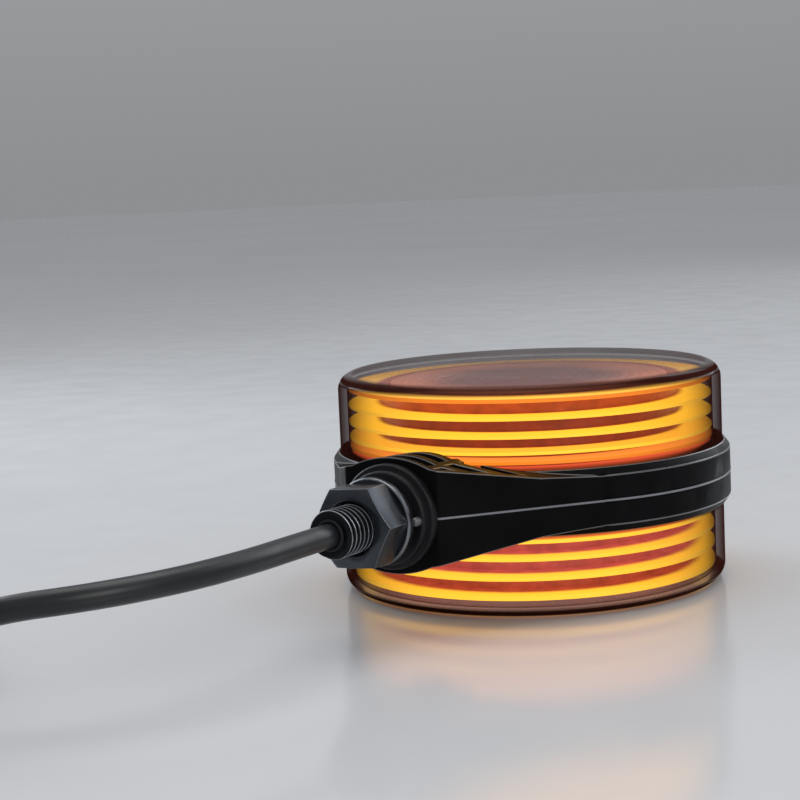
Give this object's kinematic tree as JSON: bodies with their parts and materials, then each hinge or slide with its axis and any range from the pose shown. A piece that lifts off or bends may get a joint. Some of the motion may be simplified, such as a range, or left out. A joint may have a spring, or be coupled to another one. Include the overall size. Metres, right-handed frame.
{
  "type": "amber LED marker lamp",
  "caption": "Round double-faced amber LED marker lamp with smoked lenses, a ribbed neck, a hollow threaded mounting stud with nut and washer, and a coiled cable with a plug.",
  "frame": {"origin": "centre of the lower lens face, which the lamp lies on", "axes": "+Z along the lens axis, up through both lenses; the threaded stud points along -Y; +X is across the neck"},
  "size_m": [0.2041, 0.2671, 0.0588],
  "materials": {
    "housing_black": "fine moulded black plastic, slightly satin",
    "parting_grey": "thin grey seal edge",
    "smoked_lens": "polished smoke-tinted clear plastic",
    "guide_amber": "lit amber light guide",
    "drum_amber": "dark amber diffuser",
    "seal_rubber": "soft black rubber",
    "board_green": "coated circuit board",
    "led_yellow": "phosphor-coated emitter in a white package",
    "pad_grey": "soft thermal pad",
    "spreader_alu": "bare milled aluminium",
    "screw_steel": "zinc-plated steel",
    "stud_black": "black-plated steel thread",
    "nut_black": "dark grey satin-plated steel",
    "gasket_black": "black moulded rubber",
    "cable_black": "satin dark grey cable sheath",
    "component_mix": "moulded electronic parts",
    "core_brown": "core insulation",
    "plug_black": "glass-filled black plastic",
    "contact_tin": "tinned brass contact",
    "seal_orange": "orange silicone seal",
    "tie_black": "soft hook-and-loop strap"
  },
  "bodies": {
    "lamp": {"housing_upper": "housing_black", "housing_lower": "housing_black", "parting_seal": "parting_grey", "lens_upper": "smoked_lens", "lens_lower": "smoked_lens", "lens_seal_upper": "seal_rubber", "lens_seal_lower": "seal_rubber", "light_guide_upper": "guide_amber", "light_guide_lower": "guide_amber", "diffuser_drum_upper": "drum_amber", "diffuser_drum_lower": "drum_amber", "led_board_upper": "board_green", "led_board_lower": "board_green", "leds_upper": "led_yellow", "leds_lower": "led_yellow", "thermal_pad_upper": "pad_grey", "thermal_pad_lower": "pad_grey", "heat_spreader": "spreader_alu", "board_screws": "screw_steel", "stud": "stud_black", "seat_gasket": "gasket_black", "locating_pin": "housing_black", "cable_grommet": "seal_rubber", "cable_sheath_inner": "cable_black", "driver_board": "board_green", "driver_components": "component_mix", "supply_cores": "core_brown", "board_leads": "core_brown", "cable_lead": "cable_black", "cable_coil": "cable_black", "cable_tail": "cable_black", "coil_tie": "tie_black", "plug_boot": "gasket_black", "plug_body": "plug_black", "plug_latch": "plug_black", "plug_contacts": "contact_tin", "plug_seal": "seal_orange"},
    "washer": {"flat_washer": "stud_black"},
    "nut": {"mounting_nut": "nut_black"}
  },
  "joints": [
    {"name": "washer_slide", "type": "slide", "parent": "lamp", "child": "washer", "axis": [0, -1, 0], "range_m": [0, 0.0086]},
    {"name": "nut_turn", "type": "hinge", "parent": "washer", "child": "nut", "pos_m": [0, -0.085, 0.0294], "axis": [0, -1, 0], "range_deg": [0, 1770]}
  ],
  "couplings": [
    {"joint": "nut_turn", "follows": "washer_slide", "rad_per_m": 3590.4}
  ]
}
